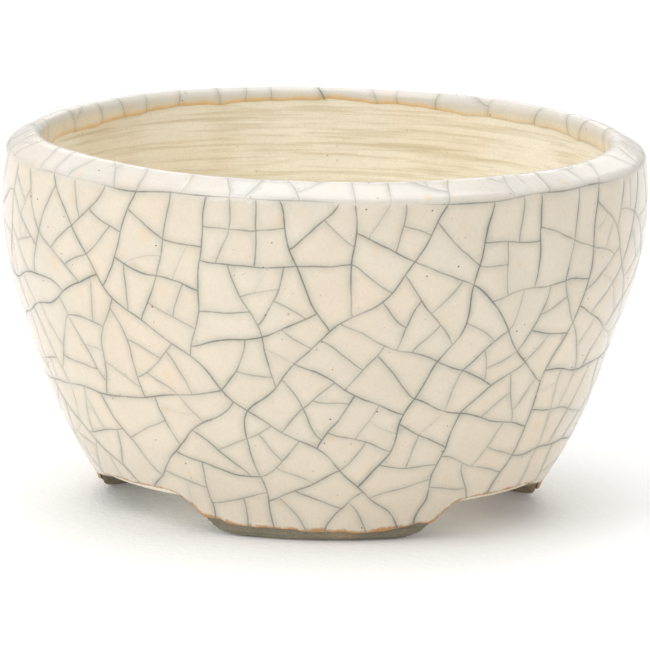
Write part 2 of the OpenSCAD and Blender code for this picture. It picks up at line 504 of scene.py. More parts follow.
crackle = {
    "seed": 11,
    "cellSizes": (19.0, 44.0),   # square mm that a piece of glaze may have before it splits
    "lipCells": 1.5,             # pieces on the lip are larger
    "smallest": 3.5,             # square mm
    "hairlines": 0.1,            # share of the pieces with a faint young crack
    "shoulderHeight": 40.9,      # a crack runs round the shoulder here
    "step": 0.45,                # distance between points on a crack
    "fill": 0.75,                # distance between points inside a piece
    "cornerTurn": 28,            # degrees
    # height of the glaze's edge inside the lip, at degrees round from the front
    "rimHeights": ((0, 39.6), (50, 39.6), (95, 40.1), (132, 40.5), (158, 40.8), (180, 41.75),
                   (205, 41.2), (240, 39.8), (275, 39.2), (320, 39.7), (360, 39.6)),
    "rimRagged": 0.33,
    "footHeight": 1.15,          # the glaze's edge on a foot
    "footRagged": 0.28,
    "footLift": 0.7,             # how much higher it is at the front foot's two ends
    "archStand": 15.89,          # from an arch's middle to where it meets the table
    "archToeR": 4.0,             # curve there
    "archSlope": 50.0,           # climb of its end, in degrees
    "archTop": 4.4,              # height of its roof
    "archFall": 9.9,             # fall of the roof towards a rear foot, in degrees
    "archGap": 0.12,             # the glaze stops this far above the arch
    "archRagged": 0.1,
}

def archHeight(c, turn, r):
    # how high the glaze's foot edge is lifted by the arches, at a heading from the front
    lifted = 0.0
    for middle in (60, 180, 300):
        away = (turn - middle + 180) % 360 - 180
        t = r * math.sin(math.radians(abs(away)))
        rear = middle == 180 or (away > 0) == (middle == 60)
        roof = c["archTop"] - t * math.tan(math.radians(c["archFall"] if rear else 0.0))
        slope = math.radians(c["archSlope"])
        toe = np.array((c["archStand"] - c["archToeR"] * math.sin(slope),
                        c["archToeR"] * (1 - math.cos(slope))))
        climb = toe[1] + (toe[0] - t) * math.tan(slope)
        if t > toe[0]:
            reach = c["archToeR"] ** 2 - min(t - c["archStand"], 0) ** 2
            climb = c["archToeR"] - math.sqrt(max(reach, 0))
        if abs(away) < 60:
            soft = 0.5
            lifted = max(lifted, -soft * math.log(math.exp(-roof / soft) + math.exp(-climb / soft)))
    return lifted


def sheetEdges(c, line, belly):
    # the sheet's foot and rim edges, as heights up the outline for headings right round
    turns = np.linspace(-200, 200, 1601)
    crown = int(np.argmax(line["z"]))
    rng = random.Random(c["seed"])
    waves = [(k, rng.uniform(0, 6.28), rng.uniform(0.5, 1)) for k in (3, 5, 8, 13, 21, 34, 55, 90)]

    def ragged(turn, size):
        sway = sum(w * math.sin(k * math.radians(turn) + p) / (1 + k * 0.04) for k, p, w in waves)
        return size * sway / 2.2

    foot, rim = [], []
    knots = np.array(c["rimHeights"])
    for turn in turns:
        z = c["footHeight"] + ragged(turn + 40, c["footRagged"])
        toe = abs((turn + 60) % 120 - 60)
        z += c["footLift"] * min(1.0, max(0.0, (toe - 12) / 14)) ** 2 * (abs(turn) < 60)
        r = np.interp(z, line["z"][:crown], line["r"][:crown])
        z = max(z, archHeight(c, turn, r) + c["archGap"] + ragged(turn * 1.3, c["archRagged"]))
        foot.append(np.interp(z, line["z"][:crown], line["v"][:crown]))
        blend = (turn % 360) / 360
        height = np.interp(blend * 360, knots[:, 0], knots[:, 1]) + ragged(turn + 90, c["rimRagged"])
        rim.append(np.interp(-height, -line["z"][crown:], line["v"][crown:]))
    soft = np.hanning(9) / np.hanning(9).sum()
    foot = np.convolve(np.pad(foot, 4, "edge"), soft, "valid")
    rim = np.convolve(np.pad(rim, 4, "edge"), soft, "valid")
    return np.radians(turns) * belly, foot, rim


def unit(v):
    return v / max(math.hypot(v[0], v[1]), 1e-9)


def insideLoop(points, p):
    # which points lie inside the loop p
    q = np.roll(p, -1, 0)
    x, y = points[:, 0][:, None], points[:, 1][:, None]
    across = (p[:, 1] > y) != (q[:, 1] > y)
    crossing = p[:, 0] + (y - p[:, 1]) * (q[:, 0] - p[:, 0]) / np.where(across, q[:, 1] - p[:, 1], 1)
    return (across & (crossing > x)).sum(1) % 2 == 1


class Sheet:
    # a flat sheet of glaze in x (round the pot) and v (up the outline), cut into pieces by cracks

    def __init__(self, c, line, belly):
        self.c, self.line, self.belly = c, line, belly
        self.rng = random.Random(c["seed"])
        self.spots, self.tone, self.ends, self.arrive = [], [], [], {}
        self.x, self.foot, self.rim = sheetEdges(c, line, belly)
        half = math.pi * belly

        def seam(v):
            return half + 1.7 * math.sin(v * 0.153 + 0.6) + 0.7 * math.sin(v * 0.37 + 2.0)

        low = np.interp(seam(2), self.x, self.foot)
        high = np.interp(seam(55), self.x, self.rim)
        rows = max(4, round((high - low) / c["step"]))
        heights = [low + (high - low) * i / rows for i in range(rows + 1)]
        right = [(seam(v), v) for v in heights]
        left = [(x - 2 * half, v) for x, v in right]
        cols = round(2 * half / c["step"])
        across = [left[0][0] + 2 * half * i / cols for i in range(1, cols)]
        shift = left[-1][0] - left[0][0]
        floorEdge = [(x, np.interp(x, self.x, self.foot)) for x in across]
        topEdge = [(x + shift, np.interp(x + shift, self.x, self.rim)) for x in across]
        self.left = self.add(left, 1.0)
        self.right = self.add(right, 1.0)
        self.floorEdge = self.add(floorEdge, 0.0)
        self.topEdge = self.add(topEdge, 0.0)
        self.whole = [self.left[0]] + self.floorEdge + self.right + self.topEdge[::-1] + self.left[:0:-1]
        self.twin = dict(zip(self.right, self.left))
        self.cells = []
        self.grow()

    def add(self, places, tone):
        first = len(self.spots)
        self.spots += [np.array(p, float) for p in places]
        self.tone += list(tone) if isinstance(tone, list) else [tone] * len(places)
        self.ends += [0] * len(places)
        return list(range(first, len(self.spots)))

    def stretch(self, v):
        return self.belly / np.interp(v, self.line["v"], self.line["r"])

    def size(self, loop):
        p = np.array([self.spots[i] for i in loop])
        q = np.roll(p, -1, 0)
        cross = p[:, 0] * q[:, 1] - q[:, 0] * p[:, 1]
        area = cross.sum() / 2
        middle = ((p + q) * cross[:, None]).sum(0) / (6 * area)
        return p, middle, area / self.stretch(middle[1]) ** 2

    def roundness(self, loop):
        # 1 for a circle, 0.78 for a square
        p, middle, area = self.size(loop)
        edge = np.hypot(*(np.roll(p, -1, 0) - p).T).sum() / self.stretch(middle[1])
        return 4 * math.pi * area / edge ** 2

    def corners(self, p):
        before, after = p - np.roll(p, 1, 0), np.roll(p, -1, 0) - p
        turn = np.arctan2(before[:, 0] * after[:, 1] - before[:, 1] * after[:, 0], (before * after).sum(1))
        return np.abs(turn) > math.radians(self.c["cornerTurn"])

    def settle(self, loop, corner, k):
        # a crack stops at an older one, and sometimes just where another stops on its far side
        n = len(loop)
        if self.rng.random() < 0.62:
            for j in (0, 1, -1, 2, -2):
                i = (k + j) % n
                if self.ends[loop[i]] == 1 and not corner[i] and loop[i] in self.arrive:
                    return i
        for j in (0, 1, -1, 2, -2, 3, -3, 4, -4):
            i = (k + j) % n
            around = [(i + m) % n for m in range(-3, 4)]
            if not any(corner[m] for m in around) and not any(self.ends[loop[m]] for m in around[1:6]):
                return i
        return None

    def inward(self, loop, p, i):
        ahead = unit(p[(i + 1) % len(p)] - p[i - 1])
        into = np.array((-ahead[1], ahead[0]))
        known = self.arrive.get(loop[i])
        if self.ends[loop[i]] == 1 and known is not None and known @ into > 0.5:
            return known
        return into

    def path(self, start, end, out, into):
        gap = end - start
        long = math.hypot(*gap)
        if long < 3 * self.c["step"]:
            return None
        first = unit(0.5 * out + 0.5 * unit(gap)) * long * 0.7
        last = -unit(0.5 * into - 0.5 * unit(gap)) * long * 0.7
        t = np.linspace(0, 1, max(2, round(long / self.c["step"])) + 1)[:, None]
        p = ((2 * t**3 - 3 * t**2 + 1) * start + (t**3 - 2 * t**2 + t) * first
             + (3 * t**2 - 2 * t**3) * end + (t**3 - t**2) * last)
        side = np.array((-gap[1], gap[0])) / long
        flaw = sum(self.rng.uniform(0.4, 1.0) * size * np.sin(t * long * k + self.rng.uniform(0, 6.3))
                   for size, k in (
                        (min(0.8, 0.03 * long), 0.32), (min(0.3, 0.02 * long), 0.75), (0.035, 2.2)))
        return p + flaw * np.sin(math.pi * t) ** 0.7 * side

    def split(self, loop, spread, tone, smallest):
        p, middle, area = self.size(loop)
        corner = self.corners(p)
        stretch = self.stretch(middle[1])
        q = p - middle
        longWay = np.linalg.eigh(q.T @ q)[1][:, 1]
        length = np.ptp(q @ longWay)
        for attempt in range(18):
            turn = math.radians(self.rng.gauss(0, spread))
            normal = np.array((longWay[0] * math.cos(turn) - longWay[1] * math.sin(turn),
                               longWay[0] * math.sin(turn) + longWay[1] * math.cos(turn)))
            cut = np.array((-normal[1], normal[0]))
            through = middle + longWay * length * self.rng.uniform(-0.13, 0.13)
            side, along = (p - through) @ normal, (p - through) @ cut
            flips = np.nonzero(side * np.roll(side, -1) < 0)[0]
            nextOne = (flips + 1) % len(p)
            share = side[flips] / (side[flips] - side[nextOne])
            at = along[flips] + (along[nextOne] - along[flips]) * share
            if not (at > 0).any() or not (at < 0).any():
                continue
            ends = []
            for which in (np.where(at > 0, at, np.inf).argmin(), np.where(at < 0, at, -np.inf).argmax()):
                ends.append(self.settle(loop, corner, (flips[which] + round(share[which])) % len(p)))
            if None in ends:
                continue
            i, j = sorted(ends)
            if j - i < 4 or len(p) - (j - i) < 4:
                continue
            line = self.path(p[i], p[j], self.inward(loop, p, i), self.inward(loop, p, j))
            if line is None or not self.fits(p, line, stretch):
                continue
            inner = line[1:-1]
            added = self.add(list(inner), tone)
            one, two = loop[i:j + 1] + added[::-1], loop[j:] + loop[:i + 1] + added
            if min(self.size(one)[2], self.size(two)[2]) < smallest or (
                    attempt < 13 and area < 400 and min(self.roundness(one), self.roundness(two)) < 0.61):
                self.spots, self.tone = self.spots[:added[0]], self.tone[:added[0]]
                self.ends = self.ends[:added[0]]
                continue
            self.ends[loop[i]] += 1
            self.ends[loop[j]] += 1
            self.arrive[loop[i]] = unit(line[0] - line[1])
            self.arrive[loop[j]] = unit(line[-1] - line[-2])
            return one, two
        return None

    def fits(self, p, line, stretch):
        inner = line[1:-1]
        near = np.hypot(*(inner[:, None] - p[None]).transpose(2, 0, 1)).min(1)
        fromEnds = np.minimum(np.hypot(*(inner - line[0]).T), np.hypot(*(inner - line[-1]).T))
        if (near < np.minimum(0.6 * stretch, 0.55 * fromEnds)).any():
            return False
        return insideLoop(inner, p).all()

    def grow(self):
        c, rng = self.c, self.rng
        crown = int(np.argmax(self.line["z"]))
        shoulder = np.interp(c["shoulderHeight"], self.line["z"][:crown], self.line["v"][:crown])
        k = int(np.argmin([abs(self.spots[i][1] - shoulder) for i in self.left]))
        a, b = self.spots[self.left[k]], self.spots[self.right[k]]
        count = round((b[0] - a[0]) / c["step"])
        waves = [(m, rng.uniform(0, 6.28), rng.uniform(0.4, 1)) for m in (4, 7, 11, 17, 26)]
        ringPath, fade = [], []
        for i in range(1, count):
            turn = 2 * math.pi * i / count
            ends = min(1, i / 12, (count - i) / 12)
            sway = sum(w * math.sin(m * turn + s) / math.sqrt(m) for m, s, w in waves)
            ringPath.append((a[0] + (b[0] - a[0]) * i / count, a[1] + 0.42 * sway * ends))
            sway = 0.5 + 0.55 * math.sin(5 * turn + 1.2) + 0.35 * math.sin(13 * turn)
            fade.append(max(0.12, min(0.85, sway)))
        ring = self.add(ringPath, fade)
        below = [self.left[0]] + self.floorEdge + self.right[:k + 1] + ring[::-1] + self.left[k:0:-1]
        above = [self.left[k]] + ring + self.right[k:] + self.topEdge[::-1] + self.left[:k:-1]
        self.ends[self.left[k]] = self.ends[self.right[k]] = 1
        waiting = []
        for loop in (below, above):
            heapq.heappush(waiting, (-self.size(loop)[2], len(waiting), loop))
        tally = 2
        while waiting:
            area, _, loop = heapq.heappop(waiting)  # the largest piece
            area = -area
            onLip = self.size(loop)[1][1] > shoulder
            limit = math.exp(rng.uniform(*np.log(c["cellSizes"]))) * (c["lipCells"] if onLip else 1)
            parts = None
            if area > limit:
                spread = 30 if area > 400 else 20 if area > 100 else 15
                tone = 1.0 if area > 400 else 0.92 if area > 110 else 0.82 if area > 48 else 0.7
                tone *= rng.uniform(0.85, 1.1) * (0.6 if onLip else 1)
                parts = self.split(loop, spread, tone, c["smallest"])
            elif area > 13 and rng.random() < c["hairlines"]:
                parts = self.split(loop, 22, rng.uniform(0.22, 0.38), c["smallest"])
                if parts:
                    self.cells += list(parts)
                    continue
            if parts is None:
                self.cells.append(loop)
                continue
            for part in parts:
                heapq.heappush(waiting, (-self.size(part)[2], tally, part))
                tally += 1


def gapTo(points, p, q):
    # distance of every point to every stretch p-q
    d = q - p
    t = ((points[:, None] - p) * d).sum(2) / np.maximum((d * d).sum(1), 1e-12)
    return np.hypot(*(points[:, None] - (p + np.clip(t, 0, 1)[:, :, None] * d)).transpose(2, 0, 1))


def fillLoop(p, extra):
    # triangles between the loop's points and the extra ones inside it, or None
    spots = [Vector(s) for s in np.concatenate([p, extra])]
    got = geometry.delaunay_2d_cdt(spots, [], [list(range(len(p)))], 1, 1e-5)
    source = [a[0] if len(a) == 1 else -1 for a in got[3]]
    if min(source) < 0:
        return None
    faces = []
    for a, b, c in got[2]:
        a, b, c = source[a], source[b], source[c]
        turn = (spots[b] - spots[a]).cross(spots[c] - spots[a])
        faces.append((a, b, c) if turn > 0 else (a, c, b))
    return faces


def hexPoints(low, high, step):
    grid = []
    for i, y in enumerate(np.arange(low[1], high[1], step * 0.866)):
        x = np.arange(low[0] + step / 2 * (i % 2), high[0], step)
        grid.append(np.stack([x, 0 * x + y], axis=1))
    return np.concatenate(grid) if grid else np.zeros((0, 2))


def makeGlazeSheet(c, line, belly):
    sheet = Sheet(c, line, belly)
    spots, faces = list(sheet.spots), []
    dist, tone, island = [0.0] * len(spots), list(sheet.tone), [0.5] * len(spots)
    rng = random.Random(c["seed"] + 1)
    broken = 0
    for loop in sheet.cells:
        p, middle, _ = sheet.size(loop)
        stretch = sheet.stretch(middle[1])
        q = np.roll(p, -1, 0)
        tones = np.array([sheet.tone[i] for i in loop])
        following = np.roll(tones, -1)
        both = np.where((tones > 0) & (following > 0),
                        np.minimum(tones, following), np.maximum(tones, following))
        ahead = (q - p) / np.hypot(*(q - p).T)[:, None]
        normal = np.stack([-ahead[:, 1], ahead[:, 0]], axis=1)
        bisect = normal + np.roll(normal, 1, 0)
        bisect *= 2 / np.maximum((bisect ** 2).sum(1), 0.7)[:, None]
        ring = p + bisect * 0.13 * stretch
        inner = hexPoints(p.min(0), p.max(0), c["fill"] * stretch)
        bare = tones == 0
        second = p[bare] + bisect[bare] * 0.3 * stretch
        extra = np.concatenate([ring, second, inner])
        gaps = gapTo(extra, p, q)
        wanted = np.repeat([0.09, 0.25, 0.42], [len(ring), len(second), len(inner)])
        keep = insideLoop(extra, p) & (gaps.min(1) > wanted * stretch)
        extra, gaps = extra[keep], gaps[keep]
        made = fillLoop(p, extra)
        if made is None:
            broken += 1
            continue
        cracks = np.where(both > 0, gaps, 1e3)
        nearest = cracks.argmin(1)
        first = len(spots)
        spots += list(extra)
        dist += list(np.minimum(cracks.min(1) / stretch, 5.0))
        tone += list(both[nearest])
        island += [rng.random()] * len(extra)
        index = loop + list(range(first, len(spots)))
        faces += [tuple(index[i] for i in face) for face in made]
    # points on the sheet's bare edges are not on a crack
    for i in sheet.floorEdge + sheet.topEdge:
        dist[i] = 5.0 if not sheet.ends[i] else 0.0
        tone[i] = 0.5
    return sheet, spots, faces, dist, tone, island, broken


# Looks: one shader group for each effect, shared by the glaze and the bare clays

def makeMottle():
    # slow clouding and fine grain of a fired body
    tree, given, result = newGroup("mottle", "ShaderNodeTree", {
        "Colour": (0.8, 0.7, 0.6, 1),
        "Warm Colour": (0.8, 0.6, 0.5, 1),
        "Warm": 0.2,
        "Cloud": 0.05,
        "Grain": 0.03,
        "Size": 9 * mm,
    }, {"Colour": "Color", "Cloud": "Float", "Grain": "Float"})
    place = objectPlace(tree)
    scale = calc(tree, "DIVIDE", 1.0, given["Size"])
    cloud = noise(tree, place, scale, 3, 0.55)
    patch = noise(tree, place, calc(tree, "MULTIPLY", scale, 0.43), 2, 0.5)
    grain = noise(tree, place, calc(tree, "MULTIPLY", scale, 22.0), 2, 0.6)
    warm = calc(tree, "MULTIPLY", ramp(tree, patch, 0.48, 0.72), given["Warm"])
    tinted = mixColour(tree, warm, given["Colour"], given["Warm Colour"])
    light = calc(tree, "ADD", swing(tree, cloud, given["Cloud"]), swing(tree, grain, given["Grain"]))
    shaded = addNode(tree, "ShaderNodeVectorMath", {"operation": "SCALE"},
                     {"Scale": calc(tree, "ADD", 1.0, light)})
    feed(tree, shaded.inputs[0], tinted)
    tree.links.new(shaded.outputs[0], result["Colour"])
    tree.links.new(cloud, result["Cloud"])
    tree.links.new(grain, result["Grain"])
    return tree


def makeStain():
    # soot drawn into the cracks: a thin dark line in a soft grey-green halo
    tree, given, result = newGroup("crackStain", "ShaderNodeTree", {
        "Colour": (0.8, 0.7, 0.6, 1),
        "Line Colour": (0.1, 0.1, 0.1, 1),
        "Halo Colour": (0.4, 0.4, 0.4, 1),
        "Line Width": 0.2 * mm,
        "Halo Width": 0.5 * mm,
        "Line": 1.0,
        "Halo": 0.3,
    }, {"Colour": "Color", "Line": "Float"})
    place = objectPlace(tree)
    dist, tone = painted(tree, "crackDist"), painted(tree, "crackTone")
    rough = noise(tree, place, 2600, 2, 0.6)
    slow = noise(tree, place, 260, 2, 0.5)
    uneven = calc(tree, "ADD", calc(tree, "MULTIPLY", rough, 0.7), calc(tree, "MULTIPLY", tone, 0.26))
    width = calc(tree, "MULTIPLY", given["Line Width"], uneven)
    line = calc(tree, "SUBTRACT", 1.0, calc(tree, "DIVIDE", dist, width), clamp=True)
    line = calc(tree, "MULTIPLY", ramp(tree, line, 0, 0.75), calc(tree, "POWER", tone, 1.15))
    line = calc(tree, "MULTIPLY", line, ramp(tree, slow, 0.25, 0.6, 0.55, 1.05), clamp=True)
    halo = calc(tree, "SUBTRACT", 1.0, calc(tree, "DIVIDE", dist, given["Halo Width"]), clamp=True)
    halo = calc(tree, "MULTIPLY", calc(tree, "POWER", halo, 2.0), calc(tree, "MULTIPLY", tone, given["Halo"]))
    halo = calc(tree, "MULTIPLY", halo, ramp(tree, slow, 0.2, 0.75, 0.35, 1.2), clamp=True)
    soft = mixColour(tree, halo, given["Colour"], given["Halo Colour"])
    strength = calc(tree, "MULTIPLY", line, given["Line"], clamp=True)
    tree.links.new(mixColour(tree, strength, soft, given["Line Colour"]), result["Colour"])
    tree.links.new(line, result["Line"])
    return tree


def makeSpecks():
    # small iron specks in the clay and under the glaze
    tree, given, result = newGroup("ironSpecks", "ShaderNodeTree", {
        "Colour": (0.8, 0.7, 0.6, 1),
        "Speck Colour": (0.2, 0.12, 0.07, 1),
        "Spacing": 2.2 * mm,
        "Size": 0.12,
        "Amount": 0.4,
        "Strength": 0.6,
    }, {"Colour": "Color"})
    place = objectPlace(tree)
    scale = calc(tree, "DIVIDE", 1.0, given["Spacing"])
    cells = addNode(tree, "ShaderNodeTexVoronoi", inputs={"Vector": place, "Scale": scale})
    chance = splitXyz(tree, cells.outputs["Color"])
    share = calc(tree, "ADD", 0.35, calc(tree, "POWER", chance["Y"], 2.0))
    size = calc(tree, "MULTIPLY", given["Size"], share)
    spot = calc(tree, "SUBTRACT", 1.0, calc(tree, "DIVIDE", cells.outputs["Distance"], size), clamp=True)
    there = calc(tree, "LESS_THAN", chance["X"], given["Amount"])
    mask = calc(tree, "MULTIPLY", calc(tree, "MULTIPLY", ramp(tree, spot, 0, 0.7), there),
                calc(tree, "MULTIPLY", given["Strength"], chance["Z"]), clamp=True)
    tree.links.new(mixColour(tree, mask, given["Colour"], given["Speck Colour"]), result["Colour"])
    return tree


def makeStreaks():
    # lines left round the pot by the fingers and the turning tool
    tree, given, result = newGroup("throwingStreaks", "ShaderNodeTree", {
        "Colour": (0.8, 0.7, 0.6, 1),
        "Low Colour": (0.5, 0.4, 0.3, 1),
        "Spacing": 0.9 * mm,
        "Strength": 0.4,
        "Ridges": 0.0,
    }, {"Colour": "Color", "Height": "Float"})
    place = objectPlace(tree)
    axes = splitXyz(tree, place)
    around = addNode(tree, "ShaderNodeVectorMath", {"operation": "NORMALIZE"},
                     {"Vector": joinXyz(tree, axes["X"], axes["Y"], 0.0)})
    flat = splitXyz(tree, around.outputs[0])
    reach = calc(tree, "ADD", axes["Z"], calc(tree, "MULTIPLY", fromAxis(tree, axes), 0.8))
    level = calc(tree, "ADD", calc(tree, "DIVIDE", reach, given["Spacing"]),
                 calc(tree, "MULTIPLY", flat["Y"], 0.7))
    spot = joinXyz(tree, calc(tree, "MULTIPLY", flat["X"], 2.2),
                   calc(tree, "MULTIPLY", flat["Y"], 2.2), level)
    streak = noise(tree, spot, 1.0, 4, 0.65)
    low = calc(tree, "ADD", ramp(tree, streak, 0.54, 0.38), ramp(tree, given["Ridges"], 0.0, -0.7))
    strength = calc(tree, "MULTIPLY", low, given["Strength"], clamp=True)
    tree.links.new(mixColour(tree, strength, given["Colour"], given["Low Colour"]), result["Colour"])
    tree.links.new(streak, result["Height"])
    return tree


mottle, stain, specks, streaks = makeMottle(), makeStain(), makeSpecks(), makeStreaks()
print("looks: groups for mottling, crack stain, specks and throwing streaks")


glazeLook = {
    "colour": (0.765, 0.685, 0.56, 1),      # cream
    "warmColour": (0.82, 0.66, 0.48, 1),    # pinkish where the glaze is thin
    "blotchColour": (0.80, 0.62, 0.40, 1),  # soft buff blotches
    "litLipColour": (0.74, 0.72, 0.68, 1),     # painted light: whiter over the lip, where the top light and white room fall on it
    "litLipHeights": (40.2 * mm, 41.6 * mm),
    "lineColour": (0.125, 0.125, 0.11, 1),
    "haloColour": (0.36, 0.36, 0.30, 1),
    "edgeColour": (0.55, 0.30, 0.12, 1),    # orange-brown flash where the glaze ends on a foot
    "rimEdgeColour": (0.83, 0.56, 0.27, 1),     # and inside the lip, mostly on the left
    "insideColour": (0.85, 0.775, 0.62, 1),     # the thin glaze inside lets the clay through
    "roughness": 0.17,
}

def makeGlazeLook(look):
    material, tree, skin = addMaterial("crackleGlaze")
    place = objectPlace(tree)
    axes = splitXyz(tree, place)
    height = axes["Z"]
    # painted light: the glaze is mixed whiter towards the lip's top, standing in for the light from above
    lip = ramp(tree, height, *look["litLipHeights"])
    base = mixColour(tree, calc(tree, "MULTIPLY", lip, 0.8), look["colour"], look["litLipColour"])
    inside = calc(tree, "MULTIPLY", ramp(tree, fromAxis(tree, axes), 33.8 * mm, 33.1 * mm),
                  ramp(tree, height, 30 * mm, 34 * mm))
    inside = calc(tree, "MULTIPLY", inside, ramp(tree, height, 42.0 * mm, 41.0 * mm, 0.0, 0.85))
    base = mixColour(tree, inside, base, look["insideColour"])
    base = mixColour(tree, ramp(tree, painted(tree, "island"), 0, 1, 0.0, 0.16), base, look["warmColour"])
    clouded = useGroup(tree, mottle, {"Colour": base, "Warm Colour": look["warmColour"], "Warm": 0.35,
                                      "Cloud": 0.1, "Grain": 0.07, "Size": 8 * mm})
    blotched = useGroup(tree, specks, {"Colour": clouded["Colour"], "Speck Colour": look["blotchColour"],
                                       "Spacing": 2.6 * mm, "Size": 0.42, "Amount": 0.55, "Strength": 0.5})
    spotted = useGroup(tree, specks, {"Colour": blotched["Colour"], "Spacing": 1.9 * mm, "Size": 0.11,
                                      "Amount": 0.16, "Strength": 0.55})
    foot, rim = painted(tree, "footEdge"), painted(tree, "rimEdge")
    ragged = calc(tree, "MULTIPLY", calc(tree, "SUBTRACT", noise(tree, place, 380, 5, 0.7), 0.5), 2.2 * mm)
    flash = ramp(tree, calc(tree, "ADD", foot, ragged), 0.7 * mm, 0.25 * mm)
    edged = mixColour(tree, flash, spotted["Colour"], look["edgeColour"])
    flash = ramp(tree, calc(tree, "MULTIPLY_ADD", ragged, 0.4, rim), 0.85 * mm, 0.1 * mm)
    flash = calc(tree, "MULTIPLY", flash, ramp(tree, axes["X"], 8 * mm, 24 * mm, 0.95, 0.2))
    edged = mixColour(tree, flash, edged, look["rimEdgeColour"])
    cracked = useGroup(tree, stain, {"Colour": edged, "Line Colour": look["lineColour"],
                                     "Halo Colour": look["haloColour"], "Line Width": 0.22 * mm,
                                     "Halo Width": 1.1 * mm, "Line": 0.74, "Halo": 0.6})
    tree.links.new(cracked["Colour"], skin.inputs["Base Color"])
    roughness = ramp(tree, clouded["Cloud"], 0.3, 0.7, look["roughness"] - 0.05, look["roughness"] + 0.07)
    roughness = calc(tree, "ADD", roughness, calc(tree, "MULTIPLY", cracked["Line"], 0.25))
    tree.links.new(roughness, skin.inputs["Roughness"])
    skin.inputs["IOR"].default_value = 1.52
    wave = addBump(tree, skin, noise(tree, place, 330, 2, 0.4), 0.05 * mm)
    addBump(tree, skin, noise(tree, place, 1700, 2, 0.5), 0.004 * mm, wave)
    return material


clayLook = {
    "colour": (0.95, 0.895, 0.755, 1),    # pale buff inside the bowl
    "lowColour": (0.52, 0.42, 0.22, 1),   # darker in the throwing lines
    "warmColour": (0.80, 0.58, 0.36, 1),
    "footColour": (0.26, 0.235, 0.17, 1),   # bare grey-green feet
    "footWarm": (0.50, 0.34, 0.19, 1),      # browner at the back
    "footLow": (0.10, 0.09, 0.06, 1),
    "body": {"warm": 0.25, "rear": 0.0, "cloud": 0.08, "grain": 0.12, "streaks": 0.33, "specks": 0.18},
    "footBody": {"warm": 0.6, "rear": 0.85, "cloud": 0.35, "grain": 0.45, "streaks": 0.35, "specks": 0.6},
}

def makeClayLook(name, colour, warm, low, settings):
    material, tree, skin = addMaterial(name)
    place = objectPlace(tree)
    rear = calc(tree, "MULTIPLY", ramp(tree, splitXyz(tree, place)["Y"], 0.0, 10 * mm), settings["rear"])
    base = mixColour(tree, rear, colour, warm)
    clouded = useGroup(tree, mottle, {"Colour": base, "Warm Colour": warm, "Warm": settings["warm"],
                                      "Cloud": settings["cloud"], "Grain": settings["grain"], "Size": 6 * mm})
    ridges = painted(tree, "ridges")
    lined = useGroup(tree, streaks, {"Colour": clouded["Colour"], "Low Colour": low, "Spacing": 0.6 * mm,
                                     "Strength": settings["streaks"], "Ridges": ridges})
    spotted = useGroup(tree, specks, {"Colour": lined["Colour"], "Spacing": 1.2 * mm, "Size": 0.17,
                                      "Amount": settings["specks"], "Strength": 0.8})
    tree.links.new(spotted["Colour"], skin.inputs["Base Color"])
    tree.links.new(ramp(tree, clouded["Grain"], 0.3, 0.7, 0.72, 0.9), skin.inputs["Roughness"])
    grit = addBump(tree, skin, noise(tree, place, 2400, 3, 0.6), 0.03 * mm)
    addBump(tree, skin, lined["Height"], 0.06 * mm, grit)
    return material


glazeSkin = makeGlazeLook(glazeLook)
bareClay = makeClayLook("bareClay", clayLook["colour"], clayLook["warmColour"], clayLook["lowColour"],
                        clayLook["body"])
footClay = makeClayLook("footClay", clayLook["footColour"], clayLook["footWarm"], clayLook["footLow"],
                        clayLook["footBody"])


# The glaze: the crackled sheet outside, a plain sheet against the clay, joined at both edges

glazeForm = {
    "Thickness": 0.4 * mm,
    "Foot Roll": 0.5 * mm,
    "Rim Feather": 1.3 * mm,
    "Crack Depth": 0.03 * mm,
    "Pillow": 0.012 * mm,
    "Wobble": 0.22 * mm,
    "Seed": 4.0,
}

def nearestTo(points, stretch):
    tree = kdtree.KDTree(len(points))
    for i, p in enumerate(points):
        tree.insert((p[0], p[1], 0), i)
    tree.balance()
    return lambda p: tree.find((p[0], p[1], 0))[2] / stretch(p[1])


